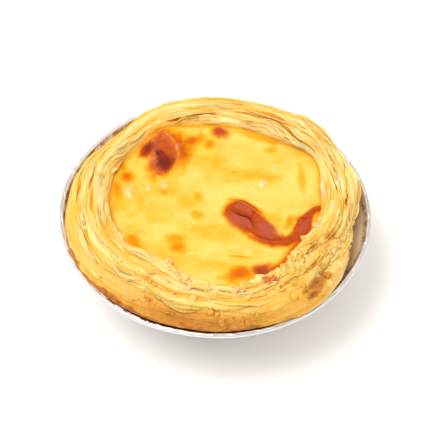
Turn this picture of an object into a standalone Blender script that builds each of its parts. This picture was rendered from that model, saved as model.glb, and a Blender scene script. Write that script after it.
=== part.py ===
"""Egg tart: custard baked in a flaky puff pastry shell, still in the foil cup it was baked in.

Units are metres. +Z is up, and the origin is the centre of the foil cup's base, on the surface it
stands on. Angles run counter-clockwise from +X, seen from above.

Every piece is a stack of rings round the Z axis, closed by a pole at each end, so its whole shape
is one cross-section that changes a little with the angle.
"""

import math

import bmesh
import bpy

MM = 0.001
TAU = 2 * math.pi
SEGMENTS = 84  # facets round each piece, shared so that neighbouring facets run side by side
FIT_GAP = 0.3 * MM  # between the foil and the pastry, and between the pastry and the custard

# Thin foil and soft dough stray from a true circle, and the rim rises and falls where hands have
# pressed it. Waves round the cup: how many, how large, and turned by how many radians.
ROUND_WAVES = ((2, 0.0035, -0.7), (6, 0.0022, 0.6), (10, 0.0016, 2.0))  # shares of the radius
RISE_WAVES = ((3, 0.16 * MM, 1.1), (4, 0.10 * MM, -0.4))  # at the height of the rim

# Foil cup
RIM_RADIUS = 37.0 * MM  # outside of the rolled rim
CUP_HEIGHT = 19.0 * MM  # table to the top of the rolled rim
ROLL_RADIUS = 0.65 * MM  # of the bead that the foil's edge is rolled into
ROLL_STEPS = 9
FOIL = 0.3 * MM
WALL_RISE = math.radians(53.0)  # of the wall above the table
CUP_CORNER = 1.6 * MM  # radius where the wall meets the base

# Pastry shell
SHELL_FLOOR = 2.8 * MM  # pastry under the custard
FOOT_WALL = 4.6 * MM  # pastry beside the foot of the custard
FOOT_ROUND = 1.4 * MM  # how far in from the foot of the hollow its flat floor begins
LIP = (0.9 * MM, 3.0 * MM)  # how far in and how far down from the custard's edge its side starts
SIDE = ((0.62, 8.0 * MM), (0.15, 2.2 * MM))  # share of the way out to the lip, height above floor
MID_WALL = 9.0 * MM  # height of a ring half-way up the wall, which keeps its facets compact
BULGE_RADIUS = 35.5 * MM  # where the puffed ring is widest
BULGE_HEIGHT = 20.9 * MM
LEAVES_FOIL = 18.1 * MM  # height where the pastry lets go of the foil
CREST_HEIGHT = 25.2 * MM  # top of the puffed ring
SHOULDER = 0.82  # below 1, the ring's top is squarer than a half circle
RING_STEPS = 18  # across the puffed ring, from its outside to the custard
LAYERS = 4  # turns of rolled pastry that show across the ring
LAYER_DEPTH = 0.13  # of the groove between two turns, as a share of the ring's half-width
LAYER_SLIP = 0.16  # how far the grooves wander, as a share of one layer
GROOVE_WIDTH = 0.16  # half-width of a groove, as a share of one layer

# Custard
CUSTARD_RADIUS = 25.0 * MM
CUSTARD_LEVEL = 22.0 * MM
CUSTARD_DOME = 0.5 * MM
CUSTARD_RINGS = 7  # from the middle of the top to its edge

# Bumps round the shell: angle in degrees, size in millimetres, half-width in degrees.
EDGE_BAYS = ((34, 3.0, 16), (122, 2.4, 14), (155, 1.1, 13), (236, -3.8, 19), (328, -1.8, 20))
BULGE_DENTS = ((-6, -2.2, 15), (22, -0.7, 14), (82, -0.9, 30), (138, -1.9, 18), (205, 0.4, 20))
FOIL_DENTS = ((-6, -3.8, 15), (138, -1.0, 16))
CREST_SWELLS = ((62, 0.4, 22), (104, -1.5, 44), (185, 0.3, 22), (272, -0.5, 24))

# Blisters in the custard's skin: x, y, half-length, half-width and height in millimetres, and the
# turn of the long side in degrees.
BLISTERS = (
    (-13.0, 16.6, 5.2, 4.2, 1.3, -60),
    (8.3, -2.7, 5.0, 2.4, 0.8, -55),
    (14.6, -7.8, 4.6, 2.2, 0.7, -5),
    (20.6, -3.6, 4.4, 2.0, 0.7, 55),
    (11.4, -17.6, 3.2, 1.9, 0.6, 10),
    (0.6, 24.0, 2.0, 1.8, 0.5, 0),
)


def bumps(angle, places):
    """The sum at this angle of smooth bumps, each an angle, a size in mm and a half-width."""
    total = 0.0
    for middle, size, half_width in places:
        away = (math.degrees(angle) - middle + 180) % 360 - 180
        total += size * math.exp(-((away / half_width) ** 2))
    return total * MM


def waves(angle, kinds):
    """The sum at this angle of even waves, each a number of crests, a size and a turn."""
    return sum(size * math.cos(count * angle + turn) for count, size, turn in kinds)


def settled(radius, angle, height):
    """The point at this radius, angle and height once the cup has been pressed slightly askew."""
    stretched = radius * (1 + waves(angle, ROUND_WAVES))
    lift = waves(angle, RISE_WAVES) * (height / CUP_HEIGHT) ** 2
    return (stretched * math.cos(angle), stretched * math.sin(angle), height + lift)


def corner(middle, radius, start, end, steps):
    """Points on an arc of the cross-section, from one angle to another."""
    turns = [start + (end - start) * step / steps for step in range(steps + 1)]
    return [(middle[0] + radius * math.cos(t), middle[1] + radius * math.sin(t)) for t in turns]


def wall_radius(height, inwards=0.0):
    """Radius of the foil's inner face at this height, or of a face that far inside it."""
    lean = WALL_RISE + math.pi / 2  # where the wall runs into the roll
    roll_radius = RIM_RADIUS - ROLL_RADIUS + ROLL_RADIUS * math.cos(lean)
    roll_height = CUP_HEIGHT - ROLL_RADIUS + ROLL_RADIUS * math.sin(lean)
    sloped = roll_radius - (roll_height - height) / math.tan(WALL_RISE)
    return sloped - inwards / math.sin(WALL_RISE)


def base_corner(under, inwards, radius):
    """The rounded corner of a face that lies that far inside the foil, from the base to the wall."""
    reach = radius * math.tan(WALL_RISE / 2)
    middle = (wall_radius(under, inwards) - reach, under + radius)
    return corner(middle, radius, -math.pi / 2, WALL_RISE - math.pi / 2, 3)


def foil_profile(_angle):
    """Cross-section of the cup: under the base, up outside, round the roll and down inside."""
    lean = WALL_RISE + math.pi / 2
    roll = (RIM_RADIUS - ROLL_RADIUS, CUP_HEIGHT - ROLL_RADIUS)
    meets = lean + math.acos((ROLL_RADIUS - FOIL) / ROLL_RADIUS)
    outside = base_corner(0.0, -FOIL, CUP_CORNER)
    inside = base_corner(FOIL, 0.0, CUP_CORNER - FOIL)
    bead = corner(roll, ROLL_RADIUS, meets, lean + TAU, ROLL_STEPS)
    return [(0.0, 0.0)] + outside + bead + inside[::-1] + [(0.0, FOIL)]


def custard_edge(angle):
    """Radius where the custard meets the pastry at its top."""
    return CUSTARD_RADIUS + bumps(angle, EDGE_BAYS)


def layer_groove(angle, across):
    """Share of the ring's half-width that the grooves between two turns of rolled pastry take.

    across is 0 at the outside of the ring and 1 where it meets the custard.
    """
    slip = math.sin(3 * angle + 1.0) + 0.6 * math.sin(7 * angle + 4 * across)
    turn = (LAYERS * across + angle / TAU + LAYER_SLIP * slip) % 1.0
    groove = math.exp(-(((turn - 0.5) / GROOVE_WIDTH) ** 2))
    return LAYER_DEPTH * groove * math.sin(math.pi * across) ** 0.5


def puffed_ring(angle, steps):
    """The part of the shell that stands above the foil, from its widest point to the custard."""
    outer = BULGE_RADIUS + bumps(angle, BULGE_DENTS)
    inner = custard_edge(angle)
    middle, half = (outer + inner) / 2, (outer - inner) / 2
    crest = CREST_HEIGHT + bumps(angle, CREST_SWELLS)
    points = []
    for step in range(steps + 1):
        turn = math.pi * step / steps
        across = (1 - math.cos(turn)) / 2
        foot = BULGE_HEIGHT + (CUSTARD_LEVEL - BULGE_HEIGHT) * across
        top = foot + (crest - foot) * math.sin(turn) ** SHOULDER
        depth = half * layer_groove(angle, across)
        points.append((middle + (half - depth) * math.cos(turn), top - depth * math.sin(turn)))
    return points


def hollow_wall(angle, inwards=0.0):
    """The wall of the shell's hollow under the custard, or a face that far inside it."""
    edge = custard_edge(angle) - inwards
    floor = FOIL + FIT_GAP + SHELL_FLOOR + inwards
    foot = wall_radius(floor) - FOOT_WALL - inwards
    lip = (edge - LIP[0], CUSTARD_LEVEL - LIP[1])
    side = [(foot + share * (edge - foot), floor + height) for share, height in SIDE]
    return [lip] + side + [(foot - FOOT_ROUND, floor)]


def shell_profile(angle):
    """Cross-section of the pastry: its base, the wall against the foil, the ring and the hollow."""
    under = FOIL + FIT_GAP
    leaves = LEAVES_FOIL + bumps(angle, FOIL_DENTS)
    wall = [(wall_radius(height, FIT_GAP), height) for height in (MID_WALL, leaves)]
    foot = base_corner(under, FIT_GAP, CUP_CORNER - FOIL)
    hollow = hollow_wall(angle)
    middle = [(0.0, hollow[-1][1])]
    return [(0.0, under)] + foot + wall + puffed_ring(angle, RING_STEPS) + hollow + middle


def blister_height(x, y):
    """How far the custard's skin has blown up at this point."""
    height = 0.0
    for at_x, at_y, length, width, rise, turn in BLISTERS:
        c, s = math.cos(math.radians(turn)), math.sin(math.radians(turn))
        along = ((x - at_x * MM) * c + (y - at_y * MM) * s) / (length * MM)
        across = ((y - at_y * MM) * c - (x - at_x * MM) * s) / (width * MM)
        height += rise * MM * math.exp(-(along**2 + across**2))
    return height


def custard_profile(angle):
    """Cross-section of the custard: its foot, its side and its domed, blistered top."""
    edge = custard_edge(angle) - FIT_GAP
    side = hollow_wall(angle, FIT_GAP)[::-1]
    top = []
    for ring in range(CUSTARD_RINGS, 0, -1):
        share = ring / CUSTARD_RINGS
        radius = edge * share
        skin = blister_height(radius * math.cos(angle), radius * math.sin(angle))
        level = CUSTARD_LEVEL + CUSTARD_DOME * (1 - share**2)
        top.append((radius, level + skin * (1 - share**8)))
    centre = (0.0, CUSTARD_LEVEL + CUSTARD_DOME + blister_height(0.0, 0.0))
    return [(0.0, side[0][1])] + side + top + [centre]


def plain_material(name, colour, roughness, metallic=0.0):
    """A one-colour finish."""
    material = bpy.data.materials.new(name)
    material.use_nodes = True
    shader = material.node_tree.nodes["Principled BSDF"]
    shader.inputs["Base Color"].default_value = (*colour, 1.0)
    shader.inputs["Roughness"].default_value = roughness
    shader.inputs["Metallic"].default_value = metallic
    return material


def turned_piece(name, profile, material, smooth_below=35.0):
    """One closed solid: the profile at each angle, joined ring to ring, with a pole at each end."""
    angles = [TAU * segment / SEGMENTS for segment in range(SEGMENTS)]
    sections = [profile(angle) for angle in angles]
    mesh = bmesh.new()
    rings = []
    for level in range(1, len(sections[0]) - 1):
        places = [settled(section[level][0], angle, section[level][1])
                  for section, angle in zip(sections, angles)]
        rings.append([mesh.verts.new(place) for place in places])
    for lower, upper in zip(rings, rings[1:]):
        for here in range(SEGMENTS):
            there = (here + 1) % SEGMENTS
            mesh.faces.new((lower[here], lower[there], upper[there], upper[here]))
    for ring, pole in ((rings[0], sections[0][0]), (rings[-1], sections[0][-1])):
        centre = mesh.verts.new((0.0, 0.0, pole[1]))
        for here in range(SEGMENTS):
            mesh.faces.new((centre, ring[(here + 1) % SEGMENTS], ring[here]))
    bmesh.ops.recalc_face_normals(mesh, faces=mesh.faces)
    data = bpy.data.meshes.new(name)
    mesh.to_mesh(data)
    mesh.free()
    data.shade_smooth()
    data.set_sharp_from_angle(angle=math.radians(smooth_below))
    data.materials.append(material)
    piece = bpy.data.objects.new(name, data)
    bpy.context.scene.collection.objects.link(piece)
    return piece


def clear_scene():
    for left_over in list(bpy.data.objects):
        bpy.data.objects.remove(left_over)


def main():
    clear_scene()
    foil = plain_material("foil", (0.86, 0.86, 0.87), 0.28, metallic=1.0)
    pastry = plain_material("baked_pastry", (0.86, 0.55, 0.17), 0.6)
    custard = plain_material("custard", (0.95, 0.65, 0.12), 0.3)
    turned_piece("foil_cup", foil_profile, foil)
    turned_piece("pastry_shell", shell_profile, pastry)
    turned_piece("custard", custard_profile, custard)


main()
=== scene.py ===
# %% [markdown]
# # An egg tart in its foil cup
#
# This lesson turns a plain solid model of an egg tart into one that looks baked. The solid model
# has three pieces: the foil cup, the pastry shell and the custard. Each is a stack of rings round
# the upright Z axis, in metres, standing on the floor at Z = 0. They come in as a fixed frame,
# and every finished piece below takes its place and size from them.

import math

import bmesh
import bpy
import numpy as np
from mathutils import Matrix, Vector, noise


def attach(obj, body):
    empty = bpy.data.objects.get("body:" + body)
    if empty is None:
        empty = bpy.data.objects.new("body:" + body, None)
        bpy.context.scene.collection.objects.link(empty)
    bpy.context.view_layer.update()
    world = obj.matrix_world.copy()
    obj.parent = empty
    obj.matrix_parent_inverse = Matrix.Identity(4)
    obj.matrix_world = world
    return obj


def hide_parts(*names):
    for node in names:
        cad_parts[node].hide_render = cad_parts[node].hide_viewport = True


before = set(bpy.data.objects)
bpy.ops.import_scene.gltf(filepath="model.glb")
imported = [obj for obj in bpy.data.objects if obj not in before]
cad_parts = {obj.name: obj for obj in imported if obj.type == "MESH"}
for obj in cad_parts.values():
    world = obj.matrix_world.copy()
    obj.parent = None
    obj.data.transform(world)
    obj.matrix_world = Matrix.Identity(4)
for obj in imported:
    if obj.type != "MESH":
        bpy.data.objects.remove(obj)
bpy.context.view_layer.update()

# %% [markdown]
# ## Units and small helpers
#
# A tart is measured in millimetres and Blender counts in metres, so every length is written as a
# number times MM. Two small functions do most of the shaping. `bumps` raises or lowers something
# at chosen angles round the tart, as a baker's thumb would. `hills` gives smooth random ups and
# downs, which is what dough and custard have everywhere.

# %% Units, bumps and hills
MM = 0.001
TAU = 2 * math.pi


def bumps(angles, places):
    """The sum of smooth bumps round the tart: each has an angle, a size and a half-width."""
    total = np.zeros_like(angles)
    for middle, size, half_width in places:
        away = (np.degrees(angles) - middle + 180) % 360 - 180
        total += size * np.exp(-((away / half_width) ** 2))
    return total


def hills(seed, across, along, wrap=64):
    """Smooth hills from -1 to 1, about one to a unit square, that repeat every wrap units."""
    heights = np.random.default_rng(seed).uniform(-1, 1, (wrap, 64))
    column, row = np.floor(across).astype(int), np.floor(along).astype(int)
    s, t = across - column, along - row
    s, t = s * s * (3 - 2 * s), t * t * (3 - 2 * t)

    def corner(right, up):
        return heights[(column + right) % wrap, (row + up) % 64]

    near = corner(0, 0) * (1 - s) + corner(1, 0) * s
    far = corner(0, 1) * (1 - s) + corner(1, 1) * s
    return near * (1 - t) + far * t


def smooth_step(low, high, values):
    """0 below low, 1 above high, and an easy slope between them."""
    share = np.clip((values - low) / (high - low), 0, 1)
    return share * share * (3 - 2 * share)


def colour(red, green, blue):
    """A screen colour, each part from 0 to 255, as the linear colour that a shader takes."""
    parts = np.array([red, green, blue]) / 255
    linear = np.where(parts <= 0.04045, parts / 12.92, ((parts + 0.055) / 1.055) ** 2.4)
    return (*linear.tolist(), 1.0)


print("one hill field spans", hills(1, np.linspace(0, 9, 50), np.zeros(50)).round(2)[:3], "...")

# %% [markdown]
# ## Reading the solid's cross-sections
#
# A turned shape is easiest to refine when we know its cross-section at each angle. The solid's
# mesh still holds them: its points lie at a fixed set of angles, and at each angle edges run from
# the edge of the flat base, out and up, and back in again. Walking along those edges gives radius
# and height, in order. The detailed pieces then lie exactly where the solid ones do.

# %% Walk along the edges of each solid
WELD = 0.01 * MM  # points of the solid closer than this are one point


def angle_of(point):
    """A point's angle round the Z axis in degrees, coarse enough to match along a section."""
    return round(math.degrees(math.atan2(point.co.y, point.co.x)), 1) % 360


def cross_sections(name):
    """Radius and height along the solid's cross-section, for each of its angles in turn."""
    solid = bmesh.new()
    solid.from_mesh(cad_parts[name].data)
    bmesh.ops.remove_doubles(solid, verts=solid.verts, dist=WELD)
    columns = {}
    for point in solid.verts:
        if point.co.xy.length > WELD:
            columns.setdefault(angle_of(point), []).append(point)
    sections = []
    for angle in sorted(columns):
        left = set(columns[angle])
        here = min(left, key=lambda point: (round(point.co.z / WELD), point.co.xy.length))
        section = []
        while here:
            left.discard(here)
            section.append((here.co.xy.length, here.co.z))
            ahead = [edge.other_vert(here) for edge in here.link_edges]
            here = next((point for point in ahead if point in left), None)
        sections.append([(0.0, section[0][1])] + section + [(0.0, section[-1][1])])
    solid.free()
    return np.array(sections)


foil_sections = cross_sections("foil_cup")
pastry_sections = cross_sections("pastry_shell")
custard_sections = cross_sections("custard")
print("angles, points and values:", foil_sections.shape, pastry_sections.shape,
      custard_sections.shape)

# %% [markdown]
# The solids have only 84 angles. A closed wave can be given more steps without changing its shape
# through its Fourier parts, and a cross-section through a smooth cubic curve. `turned` then skins
# the finer sections into one closed mesh, with a single point at each end of the Z axis.

# %% Finer sections, and a mesh from them
def more_angles(sections, steps):
    """The same sections at more angles round the tart."""
    waves = np.fft.rfft(sections, axis=0)
    return np.fft.irfft(waves, steps, axis=0) * steps / len(sections)


def more_points(sections, steps):
    """The same sections with steps[k] points from point k to the next, along a cubic curve."""
    gap = np.diff(sections, axis=1)
    span = np.linalg.norm(gap, axis=2, keepdims=True)
    slope = gap / span
    blend = slope[:, :-1] * span[:, 1:] + slope[:, 1:] * span[:, :-1]
    inner = blend / (span[:, :-1] + span[:, 1:])
    tangent = np.concatenate([slope[:, :1], inner, slope[:, -1:]], axis=1)
    near = 1.5 * np.minimum(span[:, :-1], span[:, 1:])
    pull = np.concatenate([span[:, :1], near, span[:, -1:]], axis=1)
    parts = []
    for k, count in enumerate(steps):
        t = (np.arange(count) / count)[None, :, None]
        here, there = sections[:, k:k + 1], sections[:, k + 1:k + 2]
        leave = tangent[:, k:k + 1] * np.minimum(span[:, k:k + 1], pull[:, k:k + 1])
        arrive = tangent[:, k + 1:k + 2] * np.minimum(span[:, k:k + 1], pull[:, k + 1:k + 2])
        parts.append((2 * t**3 - 3 * t**2 + 1) * here + (t**3 - 2 * t**2 + t) * leave
                     + (3 * t**2 - 2 * t**3) * there + (t**3 - t**2) * arrive)
    return np.concatenate(parts + [sections[:, -1:]], axis=1)


def spread(sections):
    """Points in space, angle by angle, from radius and height."""
    angles = np.arange(len(sections))[:, None] * TAU / len(sections)
    radius, height = sections[..., 0], sections[..., 1]
    return np.stack([radius * np.cos(angles), radius * np.sin(angles), height], axis=2)


def turned(name, places):
    """A closed mesh through points given angle by angle, whose first and last are on the Z axis."""
    around, along = places.shape[0], places.shape[1] - 2
    rings = places[:, 1:-1].reshape(-1, 3)
    points = np.concatenate([rings, places[:1, 0], places[:1, -1]])
    here = np.arange(around)[:, None] * along + np.arange(along - 1)[None, :]
    there = (np.arange(around)[:, None] + 1) % around * along + np.arange(along - 1)[None, :]
    quads = np.stack([here, there, there + 1, here + 1], axis=2).reshape(-1, 4)
    first, last = np.arange(around) * along, (np.arange(around) + 1) % around * along
    top = along - 1
    low = np.stack([np.full(around, len(rings)), last, first], axis=1)
    high = np.stack([np.full(around, len(rings) + 1), first + top, last + top], axis=1)
    mesh = bpy.data.meshes.new(name)
    mesh.from_pydata(points.tolist(), [], quads.tolist() + low.tolist() + high.tolist())
    mesh.shade_smooth()
    piece = bpy.data.objects.new(name, mesh)
    bpy.context.scene.collection.objects.link(piece)
    return piece


def stamp(piece, name, values):
    """Stores one number for each ring point of a turned piece, for its material to read."""
    flat = np.concatenate([values[:, 1:-1].ravel(), values[:1, 0], values[:1, -1]])
    attribute = piece.data.attributes.new(name, "FLOAT", "POINT")
    attribute.data.foreach_set("value", flat.astype(np.float32))


def report(piece):
    """Prints a piece's size and how many triangles it takes."""
    corners = np.array([point.co for point in piece.data.vertices])
    sides = (corners.max(0) - corners.min(0)) / MM
    triangles = sum(len(face.vertices) - 2 for face in piece.data.polygons)
    print(f"{piece.name}: {sides.round(1)} mm, {triangles} triangles")


print("84 angles become 700:", more_angles(foil_sections, 700).shape)

# %% [markdown]
# ## Camera, floor and light
#
# Food on a white sweep is lit by one very large soft light, high on the left, with white
# surroundings that fill the shadows. The light is strong enough for the floor to come out almost
# white except where the tart shades it. The camera looks down at 50 degrees through a long lens,
# so that the round rim stays an even ellipse. The Standard view keeps the yellows clean.

# %% Camera
ELEVATION = math.radians(49.8)
ROLL = math.radians(1.5)
LENS = 300.0  # mm, on a sensor 36 mm wide
SENSOR = 36.0
FRAMED_WIDTH = 102.2 * MM  # width of the view at the tart

rim_height = foil_sections[..., 1].max(1).mean()
aim = Vector((-0.1 * MM, -0.3 * MM, rim_height))
distance = LENS / SENSOR * FRAMED_WIDTH
back = Vector((0.0, -math.cos(ELEVATION), math.sin(ELEVATION)))
lens = bpy.data.cameras.new("camera")
lens.lens = LENS
lens.sensor_width = SENSOR
lens.clip_start = 0.01
camera = bpy.data.objects.new("camera", lens)
bpy.context.scene.collection.objects.link(camera)
turn = back.to_track_quat("Z", "Y").to_matrix() @ Matrix.Rotation(ROLL, 3, "Z")
camera.matrix_world = Matrix.Translation(aim + back * distance) @ turn.to_4x4()
bpy.context.scene.camera = camera
bpy.context.scene.view_settings.view_transform = "Standard"
print(f"camera {distance / MM:.0f} mm from the tart")

# %% Floor, key light and surroundings
KEY_FROM = Vector((-0.46, -0.12, 1.0)).normalized()
KEY_DISTANCE = 0.9
KEY_SIZE = 0.72
KEY_POWER = 5.0
SURROUNDINGS = 1.16


def plain_shader(name, **values):
    """A new material, its shader and its nodes, with these values on the shader's own sockets."""
    material = bpy.data.materials.new(name)
    material.use_nodes = True
    shader = material.node_tree.nodes["Principled BSDF"]
    for socket, value in values.items():
        shader.inputs[socket.replace("_", " ")].default_value = value
    return material, shader, material.node_tree


floor_mesh = bpy.data.meshes.new("floor")
reach = 3.0
floor_mesh.from_pydata([(-reach, -reach, 0), (reach, -reach, 0), (reach, reach, 0),
                        (-reach, reach, 0)], [], [(0, 1, 2, 3)])
floor = bpy.data.objects.new("floor", floor_mesh)
bpy.context.scene.collection.objects.link(floor)
floor_mesh.materials.append(plain_shader("white_sweep", Base_Color=(0.96, 0.94, 0.92, 1.0),
                                         Roughness=1.0, Specular_IOR_Level=0.0)[0])

key_data = bpy.data.lights.new("key", "AREA")
key_data.shape = "DISK"
key_data.size = KEY_SIZE
key_data.energy = KEY_POWER
key = bpy.data.objects.new("key", key_data)
bpy.context.scene.collection.objects.link(key)
key.matrix_world = (Matrix.Translation(aim + KEY_FROM * KEY_DISTANCE)
                    @ KEY_FROM.to_track_quat("Z", "Y").to_matrix().to_4x4())

world = bpy.data.worlds.new("surroundings")
world.use_nodes = True
sky = world.node_tree
sky_place = sky.nodes.new("ShaderNodeTexCoord").outputs["Generated"]
sky_split = sky.nodes.new("ShaderNodeSeparateXYZ")
sky.links.new(sky_place, sky_split.inputs[0])
sky_ramp = sky.nodes.new("ShaderNodeValToRGB")
sky.links.new(sky_split.outputs["Z"], sky_ramp.inputs["Fac"])
sky_ramp.color_ramp.elements[0].position = 0.05
sky_ramp.color_ramp.elements[0].color = (0.16, 0.15, 0.15, 1.0)
sky_ramp.color_ramp.elements[1].position = 0.50
sky_ramp.color_ramp.elements[1].color = (1.0, 0.965, 0.93, 1.0)
sky.links.new(sky_ramp.outputs["Color"], sky.nodes["Background"].inputs["Color"])
sky.nodes["Background"].inputs["Strength"].default_value = SURROUNDINGS
bpy.context.scene.world = world
print("key light", KEY_POWER, "W, surroundings", SURROUNDINGS)

# %% [markdown]
# ## Helpers for node trees
#
# Both Geometry Nodes and materials are trees of nodes. `node` adds one node: its inputs are given
# by name or number, each as a plain value or as the output of an earlier node. `maths` adds one
# sum. `grown` puts a Geometry Nodes tree on an object, sets its named inputs, and returns the
# result as a plain mesh, which is what the finished tart is made of.

# %% Node helpers
def node(tree, kind, inputs=None, **settings):
    """Adds a node to a tree. inputs maps a socket to a value or to another node's output."""
    added = tree.nodes.new(kind)
    for setting, value in settings.items():
        setattr(added, setting, value)
    for socket, value in (inputs or {}).items():
        if isinstance(value, bpy.types.NodeSocket):
            tree.links.new(value, added.inputs[socket])
        else:
            added.inputs[socket].default_value = value
    return added


def maths(tree, operation, *values):
    """The result of one sum in a tree."""
    return node(tree, "ShaderNodeMath", dict(enumerate(values)), operation=operation).outputs[0]


def new_tree(name, inputs):
    """A Geometry Nodes tree, its input node, and a geometry input before the named ones."""
    tree = bpy.data.node_groups.new(name, "GeometryNodeTree")
    tree.is_modifier = True
    sockets = tree.interface
    sockets.new_socket("Geometry", in_out="OUTPUT", socket_type="NodeSocketGeometry")
    sockets.new_socket("Geometry", in_out="INPUT", socket_type="NodeSocketGeometry")
    for label, kind in inputs.items():
        sockets.new_socket(label, in_out="INPUT", socket_type="NodeSocket" + kind)
    return tree, tree.nodes.new("NodeGroupInput").outputs


def end_tree(tree, geometry, material):
    """Ends a tree: smooth faces, instances made real, and the material set."""
    smooth = node(tree, "GeometryNodeSetShadeSmooth", {"Geometry": geometry})
    real = node(tree, "GeometryNodeRealizeInstances", {"Geometry": smooth.outputs[0]})
    finished = node(tree, "GeometryNodeSetMaterial",
                    {"Geometry": real.outputs[0], "Material": material})
    output = tree.nodes.new("NodeGroupOutput")
    tree.links.new(finished.outputs[0], output.inputs[0])


def grown(name, base, tree, values):
    """What the tree makes of the base object, as a plain mesh object; the base is removed."""
    modifier = base.modifiers.new(tree.name, "NODES")
    sockets = {item.name: item.identifier for item in tree.interface.items_tree
               if item.in_out == "INPUT"}
    for label, value in values.items():
        modifier[sockets[label]] = value
    modifier.node_group = tree
    for label, value in values.items():
        modifier[sockets[label]] = value
    bpy.context.view_layer.update()
    evaluated = base.evaluated_get(bpy.context.evaluated_depsgraph_get())
    mesh = bpy.data.meshes.new_from_object(evaluated)
    base.modifiers.remove(modifier)
    bpy.data.objects.remove(base)
    mesh.name = name
    piece = bpy.data.objects.new(name, mesh)
    bpy.context.scene.collection.objects.link(piece)
    report(piece)
    return piece


print("node helpers ready")

# %% [markdown]
# ## The foil cup
#
# The cup is a disc of thin aluminium pressed between two dies. The disc has too much edge for the
# cone it is pressed into, so the wall gathers in about two hundred fine pleats, and the edge is
# rolled over into a bead. A plain cup is turned first from the solid's sections. The pleats repeat
# round it and follow its wall, so a Geometry Nodes tree presses them in: their number, depth,
# wander and crinkle are its inputs. Butter has dulled the inner wall. In a band close under the
# bead a brown is painted on the inner wall, a painted reflection of the shaded crust beside it.
# Which points are on the inner wall is stored on the cup, for its material.

# %% Foil material
PAINTED_REFLECTION_FROM, PAINTED_REFLECTION_TO = 1.8 * MM, 1.1 * MM  # below the rim, where a brown band is painted on the inner wall as a reflection of the shaded crust
OUTER_FOIL = (0.74, 0.73, 0.735, 1.0)
INNER_FOIL = (0.92, 0.96, 1.0, 1.0)  # cool, against the warm light that the crust throws on it
INNER_DULLS, PAINTED_REFLECTION_DULLS = 0.68, 0.3  # how much less metallic each makes the foil

foil_finish, foil_shader, foil_nodes = plain_shader("pressed_foil")
foil_place = node(foil_nodes, "ShaderNodeTexCoord").outputs["Object"]
foil_cloud = node(foil_nodes, "ShaderNodeTexNoise",
                  {"Vector": foil_place, "Scale": 420.0, "Detail": 3.0})
foil_rough = node(foil_nodes, "ShaderNodeMapRange",
                  {"Value": foil_cloud.outputs["Fac"], "To Min": 0.28, "To Max": 0.52})
foil_nodes.links.new(foil_rough.outputs[0], foil_shader.inputs["Roughness"])
foil_grain = node(foil_nodes, "ShaderNodeTexNoise",
                  {"Vector": foil_place, "Scale": 1600.0, "Detail": 2.0})
foil_bump = node(foil_nodes, "ShaderNodeBump",
                 {"Height": foil_grain.outputs["Fac"], "Strength": 0.25, "Distance": 0.05 * MM})
foil_nodes.links.new(foil_bump.outputs[0], foil_shader.inputs["Normal"])
inside_wall = node(foil_nodes, "ShaderNodeAttribute", attribute_name="inside").outputs["Fac"]
foil_height = node(foil_nodes, "ShaderNodeSeparateXYZ", {0: foil_place}).outputs[2]
# A painted reflection: a blotchy brown band on the inner wall, just under the bead, standing for the shaded
# crust that the foil reflects there.
painted_reflection = node(foil_nodes, "ShaderNodeMapRange",
             {"Value": foil_height, "From Min": rim_height - PAINTED_REFLECTION_FROM,
              "From Max": rim_height - PAINTED_REFLECTION_TO}).outputs[0]
blotchy = node(foil_nodes, "ShaderNodeMapRange", {"Value": foil_cloud.outputs["Fac"], "From Min": 0.40,
                                                  "From Max": 0.55, "To Min": 0.45}).outputs[0]
painted_reflection = maths(foil_nodes, "MULTIPLY", maths(foil_nodes, "MULTIPLY", painted_reflection, inside_wall), blotchy)
bare = node(foil_nodes, "ShaderNodeMix", {0: inside_wall, 6: OUTER_FOIL, 7: INNER_FOIL},
            data_type="RGBA").outputs[2]
# The brown of the painted reflection of the shaded crust.
foil_colour = node(foil_nodes, "ShaderNodeMix", {0: painted_reflection, 6: bare, 7: colour(156, 114, 70)},
                   data_type="RGBA").outputs[2]
foil_nodes.links.new(foil_colour, foil_shader.inputs["Base Color"])
matt = maths(foil_nodes, "MULTIPLY_ADD", inside_wall, -INNER_DULLS, 1.0)
foil_metal = maths(foil_nodes, "MULTIPLY_ADD", painted_reflection, -PAINTED_REFLECTION_DULLS, matt)
foil_nodes.links.new(foil_metal, foil_shader.inputs["Metallic"])

# %% The plain cup
CUP_STEPS = 1100
# From pole to pole the solid cup has a base corner of 4 points, a bead of 10 and a corner of 4.
CUP_POINTS = [5, 2, 2, 2, 16] + [4] * 9 + [16, 2, 2, 2, 5]

cup = more_points(more_angles(foil_sections, CUP_STEPS), CUP_POINTS)
INNER_WALL_FROM = sum(CUP_POINTS[:14])  # the first point of the inner wall, under the bead
bead_starts = foil_sections[..., 0].max(1).mean() - 1.3 * MM
plain_cup = turned("plain_cup", spread(cup))
is_inside = np.arange(cup.shape[1]) >= INNER_WALL_FROM
stamp(plain_cup, "inside", np.tile(is_inside.astype(float), (CUP_STEPS, 1)))
print(f"base radius {foil_sections[:, 1, 0].mean() / MM:.1f} mm, rim height {rim_height / MM:.1f} mm")

# %% The tree that presses the pleats
pleat_tree, pleat_in = new_tree("press_pleats", {
    "Pleats": "Int", "Pleat Depth": "Float", "Wander": "Float", "Crinkle": "Float",
    "Rim Height": "Float", "Bead Starts": "Float", "Seam Depth": "Float", "Seed": "Float",
    "Material": "Material"})
place = node(pleat_tree, "GeometryNodeInputPosition").outputs[0]
split = node(pleat_tree, "ShaderNodeSeparateXYZ", {0: place}).outputs
angle = maths(pleat_tree, "ARCTAN2", split[1], split[0])
height_share = maths(pleat_tree, "DIVIDE", split[2], pleat_in["Rim Height"])
from_axis = node(pleat_tree, "ShaderNodeVectorMath",
                 {0: node(pleat_tree, "ShaderNodeCombineXYZ", {0: split[0], 1: split[1]}).outputs[0]},
                 operation="LENGTH").outputs["Value"]
bead_from = maths(pleat_tree, "SUBTRACT", pleat_in["Bead Starts"], 0.25 * MM)
bead_to = maths(pleat_tree, "ADD", pleat_in["Bead Starts"], 0.1 * MM)
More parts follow.
